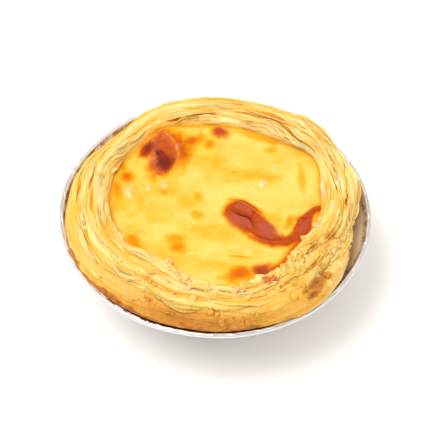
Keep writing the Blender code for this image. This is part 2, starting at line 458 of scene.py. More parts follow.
slow = node(pleat_tree, "ShaderNodeTexNoise",
            {"Vector": place, "W": pleat_in["Seed"], "Scale": 130.0, "Detail": 1.0},
            noise_dimensions="4D").outputs["Fac"]
wander = maths(pleat_tree, "MULTIPLY", maths(pleat_tree, "SUBTRACT", slow, 0.5), pleat_in["Wander"])
turns = maths(pleat_tree, "MULTIPLY", angle, pleat_in["Pleats"])
crest = maths(pleat_tree, "MULTIPLY", maths(pleat_tree, "ADD", turns, wander), 0.5)
crest = maths(pleat_tree, "ABSOLUTE", maths(pleat_tree, "SINE", crest))
fade = node(pleat_tree, "ShaderNodeMapRange",
            {"Value": height_share, "From Min": 0.05, "From Max": 0.7},
            interpolation_type="SMOOTHSTEP").outputs[0]
bead = node(pleat_tree, "ShaderNodeMapRange",
            {"Value": from_axis, "From Min": bead_from, "From Max": bead_to,
             "To Min": 1.0, "To Max": 0.06}).outputs[0]
pleat = maths(pleat_tree, "MULTIPLY", maths(pleat_tree, "MULTIPLY", crest, fade), bead)
pleat = maths(pleat_tree, "MULTIPLY", pleat, pleat_in["Pleat Depth"])
quick = node(pleat_tree, "ShaderNodeTexNoise",
             {"Vector": place, "W": pleat_in["Seed"], "Scale": 900.0, "Detail": 2.0},
             noise_dimensions="4D").outputs["Fac"]
crinkle = maths(pleat_tree, "MULTIPLY", maths(pleat_tree, "SUBTRACT", quick, 0.5),
                pleat_in["Crinkle"])
crinkle = maths(pleat_tree, "MULTIPLY", crinkle, fade)
seam = maths(pleat_tree, "SUBTRACT", from_axis, maths(pleat_tree, "ADD", pleat_in["Bead Starts"],
                                                     0.75 * MM))
seam = maths(pleat_tree, "DIVIDE", seam, 0.16 * MM)
seam = maths(pleat_tree, "EXPONENT", maths(pleat_tree, "MULTIPLY", maths(
    pleat_tree, "MULTIPLY", seam, seam), -1.0))
on_top = maths(pleat_tree, "GREATER_THAN", height_share, 0.965)
dashes = node(pleat_tree, "ShaderNodeTexNoise",
              {"Vector": place, "W": pleat_in["Seed"], "Scale": 380.0, "Detail": 1.0},
              noise_dimensions="4D").outputs["Fac"]
broken = node(pleat_tree, "ShaderNodeMapRange",
              {"Value": dashes, "From Min": 0.44, "From Max": 0.56}).outputs[0]
seam = maths(pleat_tree, "MULTIPLY", maths(pleat_tree, "MULTIPLY", seam, on_top), broken)
sink = maths(pleat_tree, "MULTIPLY", seam, maths(pleat_tree, "MULTIPLY", pleat_in["Seam Depth"], -1.0))
outward = node(pleat_tree, "ShaderNodeCombineXYZ", {0: split[0], 1: split[1]}).outputs[0]
outward = node(pleat_tree, "ShaderNodeVectorMath", {0: outward}, operation="NORMALIZE").outputs[0]
push = node(pleat_tree, "ShaderNodeVectorMath",
            {0: outward, "Scale": maths(pleat_tree, "ADD", pleat, crinkle)},
            operation="SCALE").outputs[0]
push = node(pleat_tree, "ShaderNodeVectorMath",
            {0: push, 1: node(pleat_tree, "ShaderNodeCombineXYZ", {2: sink}).outputs[0]},
            operation="ADD").outputs[0]
pressed = node(pleat_tree, "GeometryNodeSetPosition",
               {"Geometry": pleat_in["Geometry"], "Offset": push})
end_tree(pleat_tree, pressed.outputs[0], pleat_in["Material"])

# %% Press the cup
foil_cup = grown("foil_cup_pleated", plain_cup, pleat_tree, {
    "Pleats": 220, "Pleat Depth": 0.42 * MM, "Wander": 14.0, "Crinkle": 0.16 * MM,
    "Rim Height": rim_height, "Bead Starts": bead_starts, "Seam Depth": 0.30 * MM, "Seed": 4.0,
    "Material": foil_finish})

# %% [markdown]
# ## The pastry shell
#
# Puff pastry is dough folded with butter into many thin sheets. Here it was rolled up, sliced and
# pressed into the cup, so the sheets stand on edge round the tart and part as they bake. The shell
# is a height field over the solid's own surface: one number per point says how far the crust
# swells out or cracks in. The sheets follow a count that grows from the foil in to the custard,
# and winds round as a roll does. Where that count is a whole number, two sheets meet.

# %% The plain shell, and how far each point lies across the ring
SHELL_STEPS = 700
# The solid shell has a base corner of 4 points, 2 wall points, 19 over the ring, 4 in the hollow.
SHELL_POINTS = [2, 1, 1, 1, 3, 5, 8] + [6] * 18 + [2, 1, 1, 1, 1]
FROM_FOIL = sum(SHELL_POINTS[:6])  # the point where the pastry leaves the foil
TO_CUSTARD = sum(SHELL_POINTS[:25])  # the point where it meets the custard

shell = more_points(more_angles(pastry_sections, SHELL_STEPS), SHELL_POINTS)
angles = np.arange(SHELL_STEPS)[:, None] * TAU / SHELL_STEPS + np.zeros(shell.shape[:2])
turn = angles / TAU
steps = np.linalg.norm(np.diff(shell, axis=1), axis=2)
run = np.concatenate([np.zeros((SHELL_STEPS, 1)), np.cumsum(steps, axis=1)], axis=1)
run = run - run[:, FROM_FOIL:FROM_FOIL + 1]
ring_length = run[:, TO_CUSTARD:TO_CUSTARD + 1]
across = run / ring_length
heading = np.gradient(shell, axis=1)
heading /= np.linalg.norm(heading, axis=2, keepdims=True)
facing = np.stack([heading[..., 1], -heading[..., 0]], axis=2)
print(f"crust from foil to custard: {ring_length.min() / MM:.1f} to {ring_length.max() / MM:.1f} mm")

# %% The count of sheets
SHEETS = 5.5  # broad sheets between the foil and the custard
FINE_SHEETS = 24.0

wander = (0.60 * hills(11, turn * 11, across * 2.5, 11) + 0.17 * hills(12, turn * 30, across * 5, 30)
          + 0.05 * hills(13, turn * 90, across * 12, 90))
count = SHEETS * across + turn + wander
fine_count = FINE_SHEETS * across + 3 * turn + 2.6 * wander + 0.5 * hills(14, turn * 60, across * 9, 60)


def meeting(sheets, width):
    """1 where two sheets meet, falling to 0 beside it."""
    return np.exp(-(((sheets - np.round(sheets)) / width) ** 2))


come_and_go = smooth_step(-0.35, 0.5, hills(21, turn * 24, across * 5, 24))
fine_come_and_go = smooth_step(-0.2, 0.7, hills(22, turn * 40, across * 8, 40))
crease = meeting(count, 0.08) * come_and_go
fine_crease = meeting(fine_count, 0.17) * fine_come_and_go
print("sheets meet over", f"{(crease > 0.5).mean():.1%} of the crust")

# %% [markdown]
# Some sheets have parted wide enough to see in between. Each slit below is listed: its angle,
# its share of the way from foil to custard, half its length in degrees, half its width and its
# depth. It runs along the sheets because its offset is taken from the same count.

# %% Slits where sheets have parted
SLITS = (
    (103, 0.80, 13, 0.55, 1.0), (66, 0.62, 9, 0.45, 1.1), (57, 0.72, 12, 0.35, 0.9),
    (46, 0.84, 12, 0.40, 0.9), (76, 0.70, 8, 0.30, 0.7), (38, 0.62, 8, 0.28, 0.6),
    (2, 0.58, 5, 0.30, 0.9), (-17, 0.42, 5, 0.32, 0.9), (14, 0.72, 7, 0.22, 0.6),
    (176, 0.47, 8, 0.28, 0.9), (168, 0.64, 9, 0.30, 0.8), (184, 0.66, 9, 0.26, 0.8),
    (198, 0.50, 8, 0.26, 0.8), (206, 0.72, 9, 0.24, 0.7), (217, 0.55, 8, 0.30, 0.8),
    (240, 0.52, 6, 0.40, 0.7), (226, 0.78, 9, 0.22, 0.6), (258, 0.80, 9, 0.22, 0.6),
    (272, 0.62, 7, 0.25, 0.6), (287, 0.75, 7, 0.25, 0.6), (300, 0.55, 6, 0.30, 0.8),
    (318, 0.72, 6, 0.40, 0.9), (332, 0.80, 5, 0.35, 0.8), (143, 0.55, 8, 0.24, 0.6),
    (130, 0.40, 8, 0.22, 0.5), (88, 0.45, 8, 0.20, 0.4), (311, 0.33, 5, 0.40, 0.8),
)


def turns_away(middle):
    """Degrees from this angle, from -180 to 180, at every point of the shell."""
    return (np.degrees(angles) - middle + 180) % 360 - 180


def beside(middle, share):
    """Millimetres from the sheet that passes through one spot, at every point of the shell."""
    row = round(middle / 360 * SHELL_STEPS) % SHELL_STEPS
    column = int(np.argmin(np.abs(across[row] - share)))
    sheets = (SHEETS * (across - across[row, column]) + turns_away(middle) / 360
              + wander - wander[row, column])
    return sheets / SHEETS * ring_length / MM


slit = np.zeros_like(across)
lips = np.zeros_like(across)
for middle, share, half_length, half_width, depth in SLITS:
    taper = np.sqrt(np.clip(1 - (turns_away(middle) / half_length) ** 2, 0, None))
    offset = beside(middle, share) / half_width
    slit = np.maximum(slit, depth * taper * np.exp(-(offset ** 2)))
    lips = np.maximum(lips, 0.16 * taper * np.exp(-((np.abs(offset) - 1.9) ** 2)))
print(len(SLITS), "slits, the deepest", slit.max().round(2), "mm")

# %% [markdown]
# The crust isn't equally rough all round. The back has puffed up smooth, the sides show long fine
# sheets, and the near right has torn and crumbled. `rough` and `calm` say how much of each, by
# angle, and the swelling adds everything up in millimetres.

# %% Swell and crack the crust
ROUGH = ((-42, 1.0, 20), (-12, 0.35, 12), (272, 0.35, 20))
CALM = ((108, 0.75, 26), (20, 0.35, 14), (146, 0.4, 18))
SETTLED = ((146, -1.3, 22), (176, -0.7, 12), (30, -0.6, 9), (12, 0.7, 9), (225, 0.7, 28),
           (312, 1.0, 20), (345, -1.5, 15))
SKIRT = ((262, 1.0, 42), (205, 0.8, 26), (306, 0.9, 20))  # baked out over the foil's edge

rough = bumps(angles, ROUGH) * smooth_step(0.30, 0.5, across)
calm = 1 - bumps(angles, CALM)
layered = calm * (1 - 0.5 * np.clip(rough, 0, 1))
phase = count % 1.0
shingle = 0.30 * np.where(phase < 0.84, 0.5 - phase / 0.84, -0.5 + (phase - 0.84) / 0.16)
bulge = 0.30 * hills(31, turn * 24, across * 4, 24) + 0.15 * hills(32, turn * 64, across * 9, 64)
grain = 0.035 * hills(33, turn * 330, across * 34, 330)
torn = 0.50 * np.abs(hills(34, turn * 120, across * 13, 120))
torn = torn + 0.28 * np.abs(hills(35, turn * 230, across * 26, 230))
granular = 0.16 * np.abs(hills(36, turn * 260, across * 28, 260))
granular = granular + 0.30 * np.abs(hills(37, turn * 110, across * 11, 110))
granular = granular * bumps(angles, ((270, 1.0, 42),))
granular = granular * (1 - smooth_step(0.4, 0.62, across))
swelling = (layered * (shingle - 0.30 * crease - 0.19 * fine_crease) + 0.7 * bulge + grain + granular
            + rough * (torn - 0.25) - 0.7 * slit + lips)
free = smooth_step(0.02, 0.16, across) * (1 - smooth_step(0.93, 1.0, across))
settled = bumps(angles, SETTLED) * (1 - smooth_step(0.35, 0.75, across))
skirt = 1.25 * bumps(angles, SKIRT) * np.exp(-(((across - 0.09) / 0.055) ** 2))
swelling = swelling + settled + skirt
baked = shell + facing * (swelling * free * MM)[..., None]
pastry = turned("pastry_baked", spread(baked))
print(f"crust swells {swelling.max():.2f} mm and cracks {-swelling.min():.2f} mm")

# %% [markdown]
# What the eye reads as baked is mostly colour. Butter and sugar brown where heat reaches: in a few
# caught spots, low down against the foil and on the front of the outer face. The last two are
# darker partly as painted shade, under the crust's overhang and on the side that faces away from
# the light. Between sheets a deep amber glow is painted in, for the light that bounces inside the
# crumb. Each of these is stored as a number per point.

# %% Store where the crust is brown or painted shade, where a glow is painted, or pale
CAUGHT = (
    (-50, 0.27, 3.5, 0.045, 0.85), (-52, 0.50, 13, 0.16, 0.34), (-30, 0.62, 12, 0.18, 0.30),
    (-46, 0.33, 4.5, 0.06, 0.7), (-22, 0.62, 6, 0.07, 0.5),
    (-31, 0.70, 7, 0.08, 0.45), (-43, 0.52, 7, 0.05, 0.5), (240, 0.52, 7, 0.05, 0.3),
    (252, 0.45, 8, 0.05, 0.25), (60, 0.40, 4, 0.04, 0.25), (290, 0.62, 8, 0.06, 0.25),
    (112, 0.90, 14, 0.08, 0.35), (150, 0.93, 10, 0.06, 0.35),
)

# Low down against the foil the crust is darker: partly real browning, partly painted shade under the
# crust's overhang.
scorch_and_shade = np.clip(bumps(angles, ((228, 1.0, 46), (285, 0.6, 22))), 0.2, 1)
edge_at = 0.150 + bumps(angles, ((208, 0.055, 44), (272, 0.025, 24)))
edge_at = edge_at + 0.04 * hills(41, turn * 64, across * 0, 64)
edge_at = edge_at + 0.02 * hills(46, turn * 220, across * 30, 220)
browned_and_shaded = scorch_and_shade * (0.80 + 0.22 * hills(47, turn * 260, across * 24, 260))
browned_and_shaded = browned_and_shaded * (1 - smooth_step(edge_at - 0.05, edge_at, across))
# The front of the outer face is darker: partly browning, partly painted shade on the side that faces away
# from the light.
front_face_browning_and_shade = 0.50 * bumps(angles, ((262, 1.0, 46),)) * (1 - smooth_step(0.25, 0.55, across))
blush = 0.22 * smooth_step(0.1, 0.8, hills(42, turn * 18, across * 5, 18))
caught = np.zeros_like(across)
for middle, share, half_angle, half_share, strength in CAUGHT:
    reach = (turns_away(middle) / half_angle) ** 2 + ((across - share) / half_share) ** 2
    ragged = reach * (1 + 0.9 * hills(43, turn * 150, across * 18, 150))
    caught = np.maximum(caught, strength * np.exp(-np.clip(ragged, 0, None)))
# This sum is the crust's brown, with painted shade in it from the strip by the foil and from the front
# face.
browning_and_shade = np.clip(np.maximum(np.maximum(browned_and_shaded, caught), front_face_browning_and_shade) + blush * 0.5, 0, 1)
# A painted glow: where the sheets part, the colour turns deep amber for the light that bounces inside the
# crumb.
painted_glow = np.clip(0.8 * crease * layered + 0.45 * fine_crease * layered + 1.6 * slit, 0, 1)
strands = hills(44, turn * 14, count * 2.3 + 20, 14) + 0.6 * hills(45, turn * 30, fine_count + 20, 30)
paleness = np.clip(0.45 + 0.75 * strands + 1.2 * lips + 0.5 * (0.5 - count % 1.0), 0, 1)
stamp(pastry, "browning_and_shade", browning_and_shade)
stamp(pastry, "painted_glow", painted_glow)
stamp(pastry, "paleness", paleness)
report(pastry)

# %% Pastry material
def blended(tree, share, first, second):
    """A mix of two colours, by a share that is a number or another node's output."""
    mixed = node(tree, "ShaderNodeMix", {0: share, 6: first, 7: second}, data_type="RGBA")
    return mixed.outputs[2]


def stored(tree, name):
    """The number stored on a piece under this name."""
    return node(tree, "ShaderNodeAttribute", attribute_name=name).outputs["Fac"]


def pastry_finish(name):
    """Baked puff pastry: cream to golden sheets, a painted amber glow between them, brown where it caught
    and where shade is painted.
    """
    material, shader, tree = plain_shader(
        name, Roughness=0.55, Subsurface_Weight=0.5, Subsurface_Scale=1.6 * MM,
        Subsurface_Radius=(1.0, 0.6, 0.22), Specular_IOR_Level=0.15)
    where = node(tree, "ShaderNodeTexCoord").outputs["Object"]
    cloud = node(tree, "ShaderNodeTexNoise", {"Vector": where, "Scale": 160.0, "Detail": 3.0})
    speck = node(tree, "ShaderNodeTexNoise", {"Vector": where, "Scale": 1100.0, "Detail": 3.0})
    golden = blended(tree, cloud.outputs["Fac"], colour(226, 165, 52), colour(236, 184, 76))
    skin = blended(tree, stored(tree, "paleness"), golden, colour(247, 211, 140))
    # The amber mixed in here is the painted glow between the sheets.
    amber = blended(tree, stored(tree, "painted_glow"), skin, colour(222, 158, 16))
    shade = maths(tree, "MULTIPLY_ADD", speck.outputs["Fac"], 0.30, -0.15)
    # The brown mixed in below is partly painted shade, by the foil and on the front face.
    browning_shade_and_speck = maths(tree, "ADD", stored(tree, "browning_and_shade"), shade)
    toast = node(tree, "ShaderNodeValToRGB", {"Fac": browning_shade_and_speck})
    ramp = toast.color_ramp.elements
    ramp[0].position, ramp[0].color = 0.15, colour(229, 176, 60)
    ramp[1].position, ramp[1].color = 1.0, colour(130, 66, 16)
    middle = ramp.new(0.6)
    middle.color = colour(188, 120, 48)
    amount = node(tree, "ShaderNodeMapRange", {"Value": browning_shade_and_speck, "From Min": 0.12, "From Max": 0.45})
    final = blended(tree, amount.outputs[0], amber, toast.outputs["Color"])
    tree.links.new(final, shader.inputs["Base Color"])
    bump = node(tree, "ShaderNodeBump",
                {"Height": speck.outputs["Fac"], "Strength": 0.35, "Distance": 0.12 * MM})
    tree.links.new(bump.outputs[0], shader.inputs["Normal"])
    return material


baked_pastry = pastry_finish("baked_pastry")
pastry.data.materials.append(baked_pastry)
print("pastry material:", len(baked_pastry.node_tree.nodes), "nodes")

# %% [markdown]
# ## Sheets that lift off the crust
#
# The edges of some sheets stand clear of the crust and throw fine shadows. Each is a thin blade
# that follows a path along the sheets, so a Geometry Nodes tree sweeps them: the paths come in as
# plain lines that store how wide and how far tilted the blade is along the way, and the tree's
# inputs are the blade's thickness and its crinkle.

# %% Paths along the sheets
LIFTED = 170
rng = np.random.default_rng(7)


def sheet_path(middle, share, half_length, blade, lean):
    """Points, tilts, widths and brown tone, partly painted shade, of a blade that follows the sheets
    through one spot.
    """
    offsets = beside(middle, share)
    rows = round(middle / 360 * SHELL_STEPS) + np.arange(
        -round(half_length / 360 * SHELL_STEPS), round(half_length / 360 * SHELL_STEPS) + 1)
    points, tilts, widths, tans_and_shade = [], [], [], []
    for place, row in enumerate(rows):
        row = row % SHELL_STEPS
        line = np.maximum.accumulate(offsets[row, FROM_FOIL:TO_CUSTARD])
        column = np.interp(0.0, line, np.arange(FROM_FOIL, TO_CUSTARD))
        low, part = int(column), column - int(column)
        spot = baked[row, low] * (1 - part) + baked[row, low + 1] * part
        out, along = facing[row, low], heading[row, low]
        stand = out * math.cos(lean) + along * math.sin(lean)
        taper = math.sin(math.pi * (place + 0.6) / (len(rows) + 0.2)) ** 0.5
        width = blade * taper * (1 + 0.3 * math.sin(place * 0.16 + middle) * math.sin(place * 0.07))
        spot = spot + stand * (0.5 * width - 0.25 * MM)
        angle = row * TAU / SHELL_STEPS
        points.append((spot[0] * math.cos(angle), spot[0] * math.sin(angle), spot[1]))
        tilts.append(-math.atan2(stand[1], stand[0]))
        widths.append(width)
        tans_and_shade.append(browning_and_shade[row, low])
    return points, tilts, widths, tans_and_shade


chosen = [(104, 0.76, 13, 1.5, 0.5), (102, 0.86, 12, 1.3, -0.4), (64, 0.66, 14, 1.6, 0.6),
          (55, 0.76, 15, 1.6, 0.6), (47, 0.88, 14, 1.5, 0.5), (72, 0.80, 10, 1.3, 0.5),
          (42, 0.70, 12, 1.4, 0.4)]
for _ in range(LIFTED):
    middle = rng.uniform(0, 360)
    share = rng.uniform(0.34, 0.93)
    quiet = math.exp(-(((middle - 108 + 180) % 360 - 180) / 30) ** 2)
    half_length = rng.uniform(4, 13)
    blade = rng.uniform(0.6, 1.3) * (1 - 0.4 * quiet)
    lean = rng.uniform(0.5, 1.25) * (1 if share > 0.6 or rng.random() < 0.4 else -1)
    if rng.random() > 0.8 * quiet:
        chosen.append((middle, share, half_length, blade, lean))

points, edges, tilts, widths, tans_and_shade, tones = [], [], [], [], [], []
for middle, share, half_length, blade, lean in chosen:
    path, tilt, width, tan_and_shade = sheet_path(middle, share, half_length, blade * MM, lean)
    edges += [(len(points) + k, len(points) + k + 1) for k in range(len(path) - 1)]
    points += path
    tilts += tilt
    widths += width
    tans_and_shade += tan_and_shade
    tones += [rng.uniform(0.2, 1.0)] * len(path)
lines = bpy.data.meshes.new("sheet_lines")
lines.from_pydata(points, edges, [])
for label, numbers in (("tilt_by", tilts), ("blade", widths), ("browning_and_shade", tans_and_shade),
                       ("paleness", tones)):
    lines.attributes.new(label, "FLOAT", "POINT").data.foreach_set("value", numbers)
sheet_lines = bpy.data.objects.new("sheet_lines", lines)
bpy.context.scene.collection.objects.link(sheet_lines)
print(len(chosen), "lifted sheets over", len(points), "points")

# %% The tree that sweeps the blades
blade_tree, blade_in = new_tree("sweep_blades", {
    "Thickness Share": "Float", "Crinkle": "Float", "Seed": "Float", "Material": "Material"})


def named(tree, name):
    """A number stored on the points that a Geometry Nodes tree works on."""
    return node(tree, "GeometryNodeInputNamedAttribute", {"Name": name},
                data_type="FLOAT").outputs["Attribute"]


path = node(blade_tree, "GeometryNodeMeshToCurve", {"Mesh": blade_in["Geometry"]}).outputs[0]
path = node(blade_tree, "GeometryNodeSetCurveNormal", {"Curve": path}, mode="Z_UP").outputs[0]
path = node(blade_tree, "GeometryNodeSetCurveTilt",
            {"Curve": path, "Tilt": named(blade_tree, "tilt_by")}).outputs[0]
outline = node(blade_tree, "GeometryNodeCurvePrimitiveQuadrilateral",
               {"Width": 1.0, "Height": blade_in["Thickness Share"]}).outputs[0]
swept = node(blade_tree, "GeometryNodeCurveToMesh",
             {"Curve": path, "Profile Curve": outline, "Scale": named(blade_tree, "blade"),
              "Fill Caps": True}).outputs[0]
ruffle = node(blade_tree, "ShaderNodeTexNoise",
              {"Vector": node(blade_tree, "GeometryNodeInputPosition").outputs[0],
               "W": blade_in["Seed"], "Scale": 420.0, "Detail": 1.0},
              noise_dimensions="4D").outputs["Color"]
ruffle = node(blade_tree, "ShaderNodeVectorMath", {0: ruffle, 1: (0.5, 0.5, 0.5)},
              operation="SUBTRACT").outputs[0]
ruffle = node(blade_tree, "ShaderNodeVectorMath", {0: ruffle, "Scale": blade_in["Crinkle"]},
              operation="SCALE").outputs[0]
ruffled = node(blade_tree, "GeometryNodeSetPosition", {"Geometry": swept, "Offset": ruffle})
end_tree(blade_tree, ruffled.outputs[0], blade_in["Material"])

# %% Sweep them
sheets = grown("lifted_sheets", sheet_lines, blade_tree, {
    "Thickness Share": 0.15, "Crinkle": 0.16 * MM, "Seed": 2.0, "Material": baked_pastry})

# %% [markdown]
# ## Flakes and crumbs
#
# Torn layers leave loose scraps, most of them where the crust is roughest. Scattering is what
# Geometry Nodes does best: points are spread over the crust by a density stored on it, and each
# gets one of two small shapes, a bent flake or a crumb, with its own turn, size and colour. The
# seed is fixed, so the same scraps fall every time.

# %% Where scraps lie
scraps = pastry.copy()
scraps.data = pastry.data.copy()
bpy.context.scene.collection.objects.link(scraps)
inner = smooth_step(0.14, 0.26, across) * (1 - smooth_step(0.93, 0.99, across))
scatter = (bumps(angles, ((-42, 0.8, 20), (268, 0.34, 30), (-5, 0.15, 15))) + 0.012) * inner
CARAMEL_AT = (13.3, -25.4)  # a bead of caramel lies here, so no scrap does
from_caramel = np.hypot(*(spread(baked)[..., k] / MM - CARAMEL_AT[k] for k in range(2)))
scatter = scatter * smooth_step(1.6, 2.8, from_caramel)
stamp(scraps, "scatter", np.clip(scatter, 0, 1))

# %% The tree that scatters them
scrap_tree, scrap_in = new_tree("scatter_scraps", {
    "Density": "Float", "Smallest": "Float", "Largest": "Float", "Flake Share": "Float",
    "Browning": "Float", "Seed": "Int", "Material": "Material"})


def random_number(tree, low, high, seed, kind="FLOAT"):
    """A random number for each point, between low and high, from the tree's seed plus a step."""
    sown = maths(tree, "ADD", scrap_in["Seed"], seed)
    at = {"FLOAT": ((2, 3), 1), "FLOAT_VECTOR": ((0, 1), 0), "BOOLEAN": ((6,), 3)}[kind]
    inputs = dict(zip(at[0], (low, high)))
    made = node(tree, "FunctionNodeRandomValue", inputs | {"Seed": sown}, data_type=kind)
    return made.outputs[at[1]]


def crumpled(tree, shape, amount, scale, w):
    """The shape with every point pushed about by a noise."""
    place = node(tree, "GeometryNodeInputPosition").outputs[0]
    noise = node(tree, "ShaderNodeTexNoise", {"Vector": place, "W": w, "Scale": scale, "Detail": 1.0},
                 noise_dimensions="4D").outputs["Color"]
    push = node(tree, "ShaderNodeVectorMath", {0: noise, 1: (0.5, 0.5, 0.5)},
                operation="SUBTRACT").outputs[0]
    push = node(tree, "ShaderNodeVectorMath", {0: push, "Scale": amount}, operation="SCALE").outputs[0]
    moved = node(tree, "GeometryNodeSetPosition", {"Geometry": shape, "Offset": push}).outputs[0]
    return node(tree, "GeometryNodeGeometryToInstance", {"Geometry": moved}).outputs[0]


spread_out = node(scrap_tree, "GeometryNodeDistributePointsOnFaces",
                  {"Mesh": scrap_in["Geometry"],
                   "Density": maths(scrap_tree, "MULTIPLY", scrap_in["Density"],
                                    named(scrap_tree, "scatter")),
                   "Seed": scrap_in["Seed"]})
shapes = scrap_tree.nodes.new("GeometryNodeJoinGeometry")
for w in (1.0, 5.0, 9.0):
    plate = node(scrap_tree, "GeometryNodeMeshCylinder",
                 {"Vertices": 11, "Side Segments": 1, "Fill Segments": 3, "Radius": 0.5,
                  "Depth": 0.07})
    scrap_tree.links.new(crumpled(scrap_tree, plate.outputs[0], 1.15, 1.7, w), shapes.inputs[0])
for w in (3.0, 7.0):
    ball = node(scrap_tree, "GeometryNodeMeshIcoSphere", {"Radius": 0.36, "Subdivisions": 2})
    scrap_tree.links.new(crumpled(scrap_tree, ball.outputs[0], 0.7, 2.2, w), shapes.inputs[0])
spin = random_number(scrap_tree, (-0.3, -0.3, 0.0), (0.3, 0.3, TAU), 3, "FLOAT_VECTOR")
leaning = node(scrap_tree, "FunctionNodeRotateRotation",
               {"Rotation": spread_out.outputs["Rotation"],
                "Rotate By": node(scrap_tree, "FunctionNodeEulerToRotation", {0: spin}).outputs[0]},
               rotation_space="LOCAL").outputs[0]
dice = maths(scrap_tree, "POWER", random_number(scrap_tree, 0.0, 1.0, 4), 2.0)
grown_to = maths(scrap_tree, "SUBTRACT", scrap_in["Largest"], scrap_in["Smallest"])
size = maths(scrap_tree, "ADD", scrap_in["Smallest"], maths(scrap_tree, "MULTIPLY", grown_to, dice))
is_flake = maths(scrap_tree, "LESS_THAN", random_number(scrap_tree, 0.0, 1.0, 5),
                 scrap_in["Flake Share"])
which = maths(scrap_tree, "FLOOR", random_number(scrap_tree, 0.0, 1.999, 6))
which = maths(scrap_tree, "MULTIPLY", maths(scrap_tree, "SUBTRACT", 1.0, is_flake), which)
flake_kind = maths(scrap_tree, "FLOOR", random_number(scrap_tree, 0.0, 2.999, 7))
which = maths(scrap_tree, "ADD", maths(scrap_tree, "MULTIPLY", is_flake, flake_kind),
              maths(scrap_tree, "ADD", which, maths(
                  scrap_tree, "MULTIPLY", maths(scrap_tree, "SUBTRACT", 1.0, is_flake), 3.0)))
placed = node(scrap_tree, "GeometryNodeInstanceOnPoints",
              {"Points": spread_out.outputs["Points"], "Instance": shapes.outputs[0],
               "Pick Instance": True, "Instance Index": which, "Rotation": leaning, "Scale": size})
toned = node(scrap_tree, "GeometryNodeStoreNamedAttribute",
             {"Geometry": placed.outputs[0], "Name": "paleness",
              "Value": random_number(scrap_tree, 0.1, 1.0, 8)},
             data_type="FLOAT", domain="INSTANCE").outputs[0]
toned = node(scrap_tree, "GeometryNodeStoreNamedAttribute",
             {"Geometry": toned, "Name": "browning_and_shade",
              "Value": maths(scrap_tree, "ADD", named(scrap_tree, "browning_and_shade"), maths(
                  scrap_tree, "MULTIPLY", scrap_in["Browning"],
                  random_number(scrap_tree, -0.5, 1.0, 9)))},
             data_type="FLOAT", domain="INSTANCE").outputs[0]
toned = node(scrap_tree, "GeometryNodeStoreNamedAttribute",
             {"Geometry": toned, "Name": "painted_glow", "Value": 0.0},
             data_type="FLOAT", domain="INSTANCE").outputs[0]
end_tree(scrap_tree, toned, scrap_in["Material"])

# %% Scatter the scraps
flakes = grown("flakes_and_crumbs", scraps, scrap_tree, {
    "Density": 520000.0, "Smallest": 0.6 * MM, "Largest": 3.2 * MM, "Flake Share": 0.97,
    "Browning": 0.12, "Seed": 5, "Material": baked_pastry})

# %% [markdown]
# ## The custard
#
# Egg custard sets with a thin skin. In a very hot oven the skin lifts into blisters, and where
# it lifts the sugar in it caramelises, from deep yellow through orange to nearly black. So every
# spot here has a shape and a strength. The lists DARK, ROSY and SOFT give most of them by place,
# size, turn and strength, and the long wrinkle on the right is a line of points with folds.
# Heights and colours come from the same distances, so that colour and form agree.

# %% The smooth custard, closed underneath
CUSTARD_STEPS = 540
CUSTARD_RINGS = 110
OVERLAP = 0.55 * MM  # how far the skin runs in under the pastry's edge
MENISCUS = 0.30

sides = more_points(more_angles(custard_sections[:, :6], CUSTARD_STEPS), [3, 1, 1, 1, 4])
edge = sides[:, -1]
middle_height = custard_sections[:, 11, 1].mean()
share = np.linspace(1, 0, CUSTARD_RINGS)[None, :]
top_radius = (edge[:, :1] + OVERLAP) * share
top_height = edge[:, 1:] + (middle_height - edge[:, 1:]) * (1 - share ** 2)
top = np.stack([top_radius, top_height], axis=2)
from_edge = (edge[:, :1] - top_radius) / MM
spots = spread(top) / MM
x, y = spots[..., 0], spots[..., 1]
print(f"custard top at {top_height.min() / MM:.1f} to {top_height.max() / MM:.1f} mm")


# %% Marks in the skin
def mark(middle_x, middle_y, half_length, half_width, turned_by, ragged=0.22, seed=51):
    """Distance from the middle of a ragged ellipse, 1 at its edge."""
    c, s = math.cos(math.radians(turned_by)), math.sin(math.radians(turned_by))
    along = ((x - middle_x) * c + (y - middle_y) * s) / half_length
    aside = (-(x - middle_x) * s + (y - middle_y) * c) / half_width
    wobble = hills(seed, x * 0.45 + 40, y * 0.45 + 40) + 0.6 * hills(seed + 1, x + 40, y + 40)
    return np.hypot(along, aside) * (1 + ragged * wobble)


def along_line(points):
    """Distance in mm from a line through these points, signed to its left, and how far along."""
    points = np.array(points, dtype=float)
    best = np.full(x.shape, 1e9)
    side, place = np.zeros(x.shape), np.zeros(x.shape)
    for k in range(len(points) - 1):
        step = points[k + 1] - points[k]
        length = np.linalg.norm(step)
        part = np.clip(((x - points[k, 0]) * step[0] + (y - points[k, 1]) * step[1])
                       / length ** 2, 0, 1)
        away_x = x - points[k, 0] - part * step[0]
        away_y = y - points[k, 1] - part * step[1]
        gap = np.hypot(away_x, away_y)
        nearer = gap < best
        best = np.where(nearer, gap, best)
        side = np.where(nearer, np.sign(step[0] * away_y - step[1] * away_x), side)
        place = np.where(nearer, (k + part) / (len(points) - 1), place)
    return best * side, place


def curve_through(points, steps=10):
    """More points along a smooth curve through a few."""
    fine = np.linspace(0, len(points) - 1, steps * (len(points) - 1) + 1)
    padded = np.array([points[0]] + list(points) + [points[-1]], dtype=float)
    k = np.minimum(fine.astype(int), len(points) - 2)
    t = (fine - k)[:, None]
    a, b, c, d = padded[k], padded[k + 1], padded[k + 2], padded[k + 3]
    return 0.5 * (2 * b + (c - a) * t + (2 * a - 5 * b + 4 * c - d) * t ** 2
                  + (3 * b - a - 3 * c + d) * t ** 3)


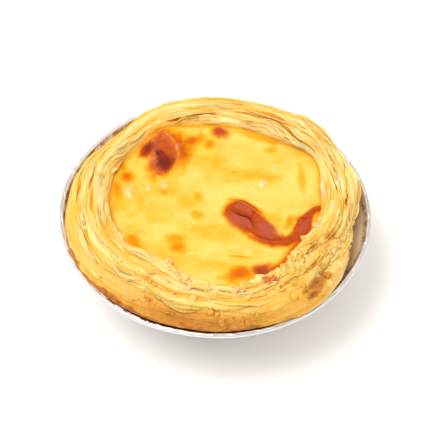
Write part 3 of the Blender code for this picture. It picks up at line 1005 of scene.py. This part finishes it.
toast = 0.10 + 0.12 * hills(61, x * 0.16 + 30, y * 0.22 + 30)
toast = toast + 0.06 * hills(62, x * 0.4 + 30, y * 0.55 + 30)
film = np.zeros_like(toast)
lift = 0.16 * hills(63, x * 0.13 + 30, y * 0.16 + 30) + 0.06 * hills(64, x * 0.42 + 30, y * 0.5 + 30)
lift = lift + 0.012 * hills(65, x * 1.7 + 30, y * 1.7 + 30)

# The big burst blister: a dark hollow between a dusky ridge and a bright one. The bright ridge's lighter
# colour is a painted highlight.
speckle = hills(68, x * 3.4 + 30, y * 3.4 + 30)
big = mark(-12.9, 16.0, 7.4, 5.0, 97, 0.16)
inside = np.exp(-((big / 1.05) ** 4))
around = mark(-11.9, 16.3, 7.6, 6.0, 97, 0.16)
toast = np.maximum(toast, (0.60 + 0.06 * speckle) * (1 - smooth_step(0.55, 1.25, around)))
DARK = (
    (-12.5, 13.0, 5.4, 4.2, 70, 0.82), (-16.3, 17.2, 3.5, 2.8, 70, 0.80),
    (-13.6, 15.4, 3.0, 2.6, 120, 0.78), (0.4, 22.9, 2.0, 2.3, 70, 0.66),
    (-21.4, 8.6, 2.6, 2.2, -35, 0.52), (11.2, -19.7, 2.7, 2.4, 10, 0.74),
    (21.0, -4.0, 2.6, 1.5, 10, 0.70), (24.2, -0.7, 1.6, 1.8, 20, 0.58),
)
for mx, my, half_length, half_width, turned_by, strength in DARK:
    spot = mark(mx, my, half_length, half_width, turned_by)
    toast = np.maximum(toast, strength * (1 - smooth_step(0.15, 1.5, spot)))
left_ridge, _ = along_line(curve_through(
    [(-13.9, 22.2), (-15.6, 19.6), (-15.2, 15.6), (-14.8, 12.4), (-14.6, 9.4)]))
right_ridge, _ = along_line(curve_through(
    [(-12.6, 22.2), (-11.0, 20.0), (-9.7, 17.0), (-9.2, 13.8), (-10.0, 10.8)]))
hollow = mark(-12.0, 12.8, 3.8, 2.6, 80)
lift = lift + 0.70 * inside
lift = lift + 0.80 * np.exp(-((left_ridge / 1.0) ** 2)) * inside
lift = lift + 0.95 * np.exp(-((right_ridge / 0.9) ** 2)) * inside
lift = lift - 1.00 * np.exp(-((hollow / 0.95) ** 2))
ridges = np.exp(-((left_ridge / 1.5) ** 2)) + np.exp(-((right_ridge / 1.3) ** 2))
lift = lift + (0.04 + 0.13 * np.clip(ridges, 0, 1)) * speckle * inside
glitter = 0.9 * inside * np.clip(ridges, 0, 1) * smooth_step(0.15, 0.60, speckle)
film = np.maximum(film, 0.35 * np.exp(-(((left_ridge + 0.1) / 1.0) ** 2)) * inside)
# A painted highlight: the colour is made lighter along the right ridge.
toast = toast - 0.14 * np.exp(-(((right_ridge - 0.2) / 0.9) ** 2)) * inside
tail, tail_place = along_line([(-14.6, 10.0), (-15.0, 7.4), (-14.4, 6.0)])
toast = np.maximum(toast, (0.50 - 0.34 * tail_place) * np.exp(-((tail / 1.6) ** 2)))

# The long wrinkle, where the skin has slid into a double fold. Its far side fades into the skin.
wrinkle, wrinkle_place = along_line(curve_through(
    [(5.4, -2.4), (8.2, -4.9), (11.2, -7.9), (13.6, -9.8), (16.6, -10.6), (18.8, -9.6),
     (20.3, -7.2), (21.0, -4.6), (22.6, -2.4), (24.6, -0.4)]))
HALF_WIDTHS = (3.9, 4.0, 3.5, 2.7, 1.8, 1.8, 2.1, 1.9, 1.2, 0.8)
width = np.interp(wrinkle_place, np.linspace(0, 1, len(HALF_WIDTHS)), HALF_WIDTHS)
wavy = wrinkle + 0.45 * hills(67, x * 0.6 + 30, y * 0.6 + 30)
span = np.abs(wavy) / width
faded = smooth_step(0, 1, wavy) * np.exp(-(((wrinkle_place - 0.36) / 0.16) ** 2))
strong = 1 - smooth_step(0.66 - 0.5 * faded, 1.30 + 0.1 * faded, span)
toast = np.maximum(toast, (0.62 + 0.04 * speckle) * strong)
lift = lift + 0.60 * np.exp(-((span / 0.9) ** 4))
lift = lift + 0.035 * speckle * np.exp(-(span ** 4))
ROSY = (
    (7.0, -1.2, 3.0, 1.3, -30, 0.9), (6.2, -5.2, 3.3, 1.9, -20, 1.0), (12.4, -7.4, 3.3, 2.1, -42, 1.0),
    (21.0, -6.7, 1.8, 1.4, 60, 0.8),
)
for mx, my, half_length, half_width, turned_by, strength in ROSY:
    spot = mark(mx, my, half_length, half_width, turned_by, 0.3, 57)
    film = np.maximum(film, strength * (1 - smooth_step(0.45, 1.35, spot)))
FOLDS = (  # a line of points, its half-width, its toast, and how far the skin sinks along it
    (((2.8, -0.3), (5.4, -2.6), (8.2, -3.8), (9.6, -7.1)), 0.60, 0.84, 0.75),
    (((10.0, -1.6), (8.8, -3.0), (8.4, -4.4)), 0.45, 0.76, 0.30),
    (((3.2, 1.5), (6.4, 0.9), (9.4, -1.2), (11.4, -3.2)), 0.80, 0.63, -0.15),
    (((3.4, -6.4), (7.8, -7.4), (10.5, -9.5), (14.1, -10.5), (16.8, -9.4), (18.8, -6.9)), 0.45, 0.74, 0.40),
    (((6.4, -8.2), (10.0, -10.7), (14.0, -11.7), (18.4, -10.4)), 0.90, 0.62, -0.15),
)
for points, half_width, darkness, sink in FOLDS:
    fold, fold_place = along_line(curve_through(points))
    fading = np.sin(math.pi * np.clip(fold_place, 0.04, 0.96)) ** 0.35
    trace = fading * np.exp(-((fold / half_width) ** 2))
    lift = lift - 1.3 * sink * trace
    film = film * (1 - 0.9 * trace)
    toast = np.maximum(toast, darkness * trace)

# Caramel run along the edge, low right, and the softer spots of deep yellow and orange.
run_edge, _ = along_line(curve_through(
    [(20.6, -9.8), (18.9, -12.0), (17.3, -15.0), (15.6, -17.6), (13.0, -19.4)]))
toast = np.maximum(toast, 0.56 * np.exp(-((run_edge / 1.1) ** 2)))
SOFT = (
    (6.2, -20.8, 4.6, 3.0, 5, 0.52), (-4.4, 2.2, 1.4, 2.2, 10, 0.30), (-4.4, -3.2, 2.6, 1.3, -20, 0.33),
    (-8.6, -13.4, 3.0, 2.6, 0, 0.43), (-9.4, -11.0, 3.8, 2.4, 10, 0.34), (-18.8, -12.2, 1.8, 3.8, 30, 0.43),
    (-12.2, 3.4, 1.7, 1.3, 0, 0.36), (13.0, 17.8, 2.0, 1.5, 0, 0.29), (4.2, 10.2, 2.2, 0.9, 0, 0.27),
    (-23.6, 4.4, 1.9, 5.0, 5, 0.40), (-1.9, 19.0, 1.7, 2.2, 0, 0.43), (-22.6, 11.4, 1.6, 3.4, 20, 0.42),
    (5.4, -6.2, 1.6, 3.4, 55, 0.40), (20.4, 9.0, 1.4, 6.0, 5, 0.25), (11.0, 21.4, 9.0, 1.3, -18, 0.30),
    (24.0, -1.0, 2.2, 4.0, -30, 0.42), (-6.4, 19.8, 5.0, 2.6, 18, 0.54), (-8.0, 13.0, 1.2, 4.6, 0, 0.40),
    (17.6, -4.6, 1.3, 2.4, -20, 0.40), (6.6, -15.8, 3.6, 0.5, -4, 0.34), (-3.0, -7.6, 9.0, 1.4, 10, 0.21),
    (-18.0, 1.0, 2.0, 3.4, 10, 0.22), (-10.0, 8.6, 6.0, 1.2, 20, 0.20), (0.5, 14.6, 3.2, 1.4, -30, 0.22),
)
for mx, my, half_length, half_width, turned_by, strength in SOFT:
    spot = mark(mx, my, half_length, half_width, turned_by, 0.3, 53)
    toast = np.maximum(toast, strength * (1 - smooth_step(0.1, 1.4, spot)))
    lift = lift + 0.20 * np.exp(-(spot ** 2))
low = mark(8.6, -19.4, 6.2, 2.2, 8)
lift = lift + 0.40 * np.exp(-((low / 0.95) ** 4))
red = mark(0.9, 23.0, 2.4, 2.2, 60)
lift = lift + 0.50 * np.exp(-((red / 0.95) ** 4))
film = np.maximum(film, 0.3 * np.exp(-(red ** 2)))
dusk = mark(11.6, -19.2, 2.2, 1.6, 15)
film = np.maximum(film, 0.5 * np.exp(-(dusk ** 2)))
print(f"toast {toast.min():.2f} to {toast.max():.2f}, skin lifted up to {lift.max():.2f} mm")

# %% Small bubbles that catch the light
wet = np.zeros_like(toast)
BUBBLES = ((-20.7, 4.0, 1.9), (-16.0, 4.8, 1.1), (-12.4, 5.4, 1.3), (13.8, 11.6, 0.9),
           (11.0, 7.2, 1.6), (8.4, 5.6, 0.8), (-20.2, 2.2, 0.9), (-9.4, 17.4, 0.8))
for bx, by, size in BUBBLES:
    near = ((x - bx) / (0.6 * size)) ** 2 + ((y - by) / (0.8 * size)) ** 2
    near = np.exp(-near * (1 + 0.5 * speckle))
    lift = lift + 0.38 * size * near
    wet = np.maximum(wet, smooth_step(0.1, 0.5, near))
rise = MENISCUS * np.exp(-np.clip(from_edge, 0, None) / 0.8)
toast = np.maximum(toast, 0.30 * np.exp(-np.clip(from_edge, 0, None) / 0.7))
top[..., 1] = top[..., 1] + (lift * smooth_step(-0.4, 0.8, from_edge) + rise) * MM
custard_points = np.concatenate([sides[:, :-1], top], axis=1)
custard_points[:, -1, 1] = custard_points[:, -2, 1].mean()
custard = turned("custard_baked", spread(custard_points))
underneath = np.zeros((CUSTARD_STEPS, sides.shape[1] - 1))
stamp(custard, "toast", np.concatenate([underneath, np.clip(toast, 0, 1)], axis=1))
stamp(custard, "film", np.concatenate([underneath, np.clip(film, 0, 1)], axis=1))
stamp(custard, "wet", np.concatenate([underneath, np.maximum(wet, glitter)], axis=1))
report(custard)

# %% Custard material
TOASTING = (
    (0.00, (230, 196, 98)), (0.10, (227, 186, 78)), (0.22, (224, 167, 34)),
    (0.36, (220, 144, 2)), (0.48, (208, 108, 2)), (0.62, (170, 70, 20)),
    (0.78, (124, 38, 16)), (1.00, (66, 18, 6)),
)


def toasted(tree, amount, stops):
    """A colour ramp through these stops, each a position and a screen colour."""
    made = node(tree, "ShaderNodeValToRGB", {"Fac": amount})
    ramp = made.color_ramp.elements
    ramp[0].position, ramp[0].color = stops[0][0], colour(*stops[0][1])
    ramp[1].position, ramp[1].color = stops[-1][0], colour(*stops[-1][1])
    for position, shade in stops[1:-1]:
        ramp.new(position).color = colour(*shade)
    return made.outputs["Color"]


custard_finish, custard_shader, custard_nodes = plain_shader(
    "baked_custard", Roughness=0.30, Subsurface_Weight=0.3, Subsurface_Scale=1.2 * MM,
    Subsurface_Radius=(1.0, 0.7, 0.2), Coat_Roughness=0.05, Coat_IOR=2.1)
custard_place = node(custard_nodes, "ShaderNodeTexCoord").outputs["Object"]
custard_fine = node(custard_nodes, "ShaderNodeTexNoise",
                    {"Vector": custard_place, "Scale": 900.0, "Detail": 3.0})
custard_toast = maths(custard_nodes, "ADD", stored(custard_nodes, "toast"),
                      maths(custard_nodes, "MULTIPLY_ADD", custard_fine.outputs["Fac"], 0.10, -0.05))
custard_colour = toasted(custard_nodes, custard_toast, TOASTING)
custard_film = maths(custard_nodes, "MULTIPLY", stored(custard_nodes, "film"), 0.8)
custard_colour = blended(custard_nodes, custard_film, custard_colour, colour(170, 80, 62))
custard_nodes.links.new(custard_colour, custard_shader.inputs["Base Color"])
dry = node(custard_nodes, "ShaderNodeMapRange",
           {"Value": custard_toast, "From Min": 0.15, "From Max": 0.50, "To Min": 0.16, "To Max": 0.05})
custard_nodes.links.new(stored(custard_nodes, "wet"), custard_shader.inputs["Coat Weight"])
custard_nodes.links.new(dry.outputs[0], custard_shader.inputs["Specular IOR Level"])
custard_bump = node(custard_nodes, "ShaderNodeBump",
                    {"Height": custard_fine.outputs["Fac"], "Strength": 0.12, "Distance": 0.05 * MM})
custard_nodes.links.new(custard_bump.outputs[0], custard_shader.inputs["Normal"])
custard.data.materials.append(custard_finish)
print("custard material:", len(custard_nodes.nodes), "nodes")

# %% [markdown]
# ## A bead of caramel
#
# Where the custard boiled over the crust, a drop of its sugar has set to amber, with a pale lump
# of custard near it. For each, a ball is squashed, made lumpy by a smooth noise and pressed into
# the crust, at the crust's own height there. The amber has its colour on the surface, under a
# thin gloss, and the pale lump lets some light in.

# %% Caramel bead
crust_points = spread(baked)[:, FROM_FOIL:TO_CUSTARD].reshape(-1, 3)


def crust_height(place_x, place_y):
    """The height of the baked crust above one spot."""
    away = np.hypot(crust_points[:, 0] - place_x, crust_points[:, 1] - place_y)
    return crust_points[np.argmin(away), 2]


def lump(name, place, sizes, roughness, seed, turned_by):
    """A squashed, lumpy ball resting in the crust; place and sizes are in millimetres."""
    ball = bmesh.new()
    bmesh.ops.create_icosphere(ball, subdivisions=4, radius=1.0)
    centre = Vector(place) * MM
    centre.z += crust_height(centre.x, centre.y)
    spin = Matrix.Rotation(math.radians(turned_by), 3, "Z")
    for point in ball.verts:
        bumpy = 1 + roughness * noise.noise(point.co * 1.6 + Vector((seed, 0, 0)))
        squashed = Vector(point.co[k] * bumpy * sizes[k] * MM for k in range(3))
        point.co = centre + spin @ squashed
    mesh = bpy.data.meshes.new(name)
    ball.to_mesh(mesh)
    ball.free()
    mesh.shade_smooth()
    piece = bpy.data.objects.new(name, mesh)
    bpy.context.scene.collection.objects.link(piece)
    report(piece)
    return piece


caramel = lump("caramel_bead", (*CARAMEL_AT, 0.75), (1.9, 1.2, 0.8), 0.9, 3.0, 5)
pale_blob = lump("pale_blob", (10.6, -24.1, 0.25), (1.8, 1.3, 0.6), 0.7, 8.0, 25)
caramel.data.materials.append(plain_shader(
    "caramel", Base_Color=colour(192, 104, 10), Roughness=0.16, Specular_IOR_Level=0.25,
    Coat_Weight=0.3, Coat_Roughness=0.03)[0])
pale_blob.data.materials.append(plain_shader(
    "overflow", Base_Color=colour(244, 206, 130), Roughness=0.22, Subsurface_Weight=0.5,
    Subsurface_Scale=1.5 * MM, Subsurface_Radius=(1.0, 0.7, 0.3), Coat_Weight=0.5,
    Coat_Roughness=0.05)[0])

# %% Finish
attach(foil_cup, "root")
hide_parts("foil_cup")
for piece in (pastry, sheets, flakes):
    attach(piece, "root")
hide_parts("pastry_shell")
for piece in (custard, caramel, pale_blob):
    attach(piece, "root")
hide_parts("custard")
